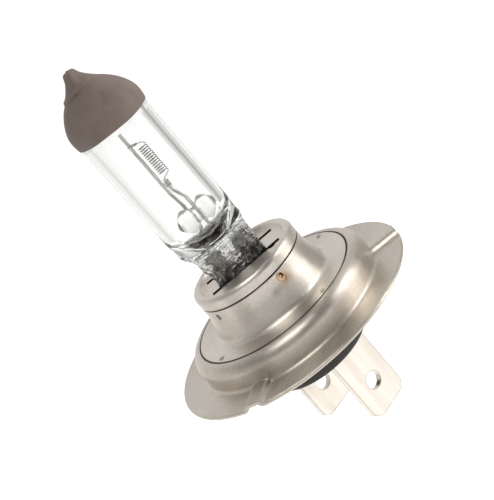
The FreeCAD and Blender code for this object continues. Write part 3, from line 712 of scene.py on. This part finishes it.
def staged(name, corners, material):
    """Flat studio surface that isn't part of the lamp."""
    mesh = bpy.data.meshes.new(name)
    mesh.from_pydata(corners, [], [(0, 1, 2, 3)])
    mesh.materials.append(material)
    obj = bpy.data.objects.new(name, mesh)
    scene.collection.objects.link(obj)
    return obj


def softbox(name, azimuth, elevation, distance, width, height, power):
    """Rectangular soft light aimed at the lamp."""
    light = bpy.data.lights.new(name, "AREA")
    light.shape = "RECTANGLE"
    light.size, light.size_y = width, height
    light.energy = power
    obj = bpy.data.objects.new(name, light)
    direction = toward(azimuth, elevation)
    obj.location = Vector((0, 0, 0.012)) + direction * distance
    obj.rotation_mode = "QUATERNION"
    obj.rotation_quaternion = aimed_back(direction)
    scene.collection.objects.link(obj)


def card(name, azimuth, distance, width, top, glow):
    """Card standing beside the lamp: it draws the edges of glass and metal and is not seen itself."""
    out = toward(azimuth, 0)
    half = Vector((-out.y, out.x, 0)) * width / 2
    foot, head = out * distance + up(CARD_FOOT), out * distance + up(top)
    cloth = glowing_cloth(name + "_cloth", 0.02, 0.03, 40.0, (glow, glow * 0.98, glow * 0.94, 1), 1.0, 0.95)
    obj = staged(name, [foot - half, foot + half, head + half, head - half], cloth)
    obj.visible_camera = False
    obj.visible_shadow = False
    obj.visible_diffuse = False


def shaded_zone(tree, colour, azimuth, elevation, wide, narrow, dark):
    """Darken the sky round a direction, from the cosine where it starts to the cosine where it is full."""
    aim = tree.nodes.new("ShaderNodeVectorMath")
    aim.operation = "DOT_PRODUCT"
    aim.inputs[1].default_value = toward(azimuth, elevation)
    tree.links.new(tree.nodes["sky_coords"].outputs["Generated"], aim.inputs[0])
    fade = tree.nodes.new("ShaderNodeMapRange")
    fade.interpolation_type = "SMOOTHSTEP"
    for key, value in (("From Min", wide), ("From Max", narrow), ("To Min", 1.0), ("To Max", dark)):
        fade.inputs[key].default_value = value
    tree.links.new(aim.outputs["Value"], fade.inputs["Value"])
    shade = tree.nodes.new("ShaderNodeVectorMath")
    shade.operation = "SCALE"
    tree.links.new(colour, shade.inputs[0])
    tree.links.new(fade.outputs["Result"], shade.inputs["Scale"])
    return shade.outputs["Vector"]


def pale_sky():
    """Near-white room, darker overhead and in two broad zones that the metal mirrors."""
    world = bpy.data.worlds.new("studio")
    scene.world = world
    world.use_nodes = True
    tree = world.node_tree
    coords = tree.nodes.new("ShaderNodeTexCoord")
    coords.name = "sky_coords"
    split = tree.nodes.new("ShaderNodeSeparateXYZ")
    tree.links.new(coords.outputs["Generated"], split.inputs["Vector"])
    ramp = tree.nodes.new("ShaderNodeValToRGB")
    stops = ramp.color_ramp.elements
    stops.new(0.45)
    for stop, place, colour in zip(stops, (0.0, 0.45, 1.0),
                                   ((0.95, 0.95, 0.95), (0.86, 0.855, 0.85), (0.42, 0.41, 0.40))):
        stop.position = place
        stop.color = (*colour, 1)
    tree.links.new(split.outputs["Z"], ramp.inputs["Fac"])
    colour = shaded_zone(tree, ramp.outputs["Color"], -28, 40, 0.30, 0.85, 0.3)
    colour = shaded_zone(tree, colour, -120, 12, 0.5, 0.95, 0.6)
    tree.links.new(colour, tree.nodes["Background"].inputs["Color"])
    tree.nodes["Background"].inputs["Strength"].default_value = 1.0


look(-28.66, 18.94, 0.14972, Vector((2.686, 2.083, 9.077)) * MM, -40.855, 86.4)
scene.view_settings.view_transform = "Standard"
floor_corners = [(x, y, FLOOR_HEIGHT) for x, y in ((-FLOOR_HALF, -FLOOR_HALF), (FLOOR_HALF, -FLOOR_HALF),
                                                   (FLOOR_HALF, FLOOR_HALF), (-FLOOR_HALF, FLOOR_HALF))]
staged("floor", floor_corners, glowing_cloth("pale_floor", 0.85, 0.87, 3.0, (1.0, 1.0, 1.0, 1), 0.62, 0.9))
pale_sky()
softbox("key", 50, 25, 0.45, 0.24, 0.34, 1.0)
softbox("top", -60, 75, 0.5, 0.25, 0.25, 0.8)
card("flag_right", 85, 0.13, 0.12, 0.07, 0.45)
card("flag_left", -142, 0.13, 0.10, 0.07, 0.80)
card("flag_behind_right", 118, 0.14, 0.06, 0.015, 0.72)
card("flag_behind_left", 187, 0.14, 0.06, 0.015, 0.95)
card("flag_near_left", -88, 0.14, 0.08, 0.05, 0.60)
card("flag_near_right", 22, 0.15, 0.06, 0.05, 0.70)
card("bounce", 50, 0.12, 0.060, 0.05, 1.75)
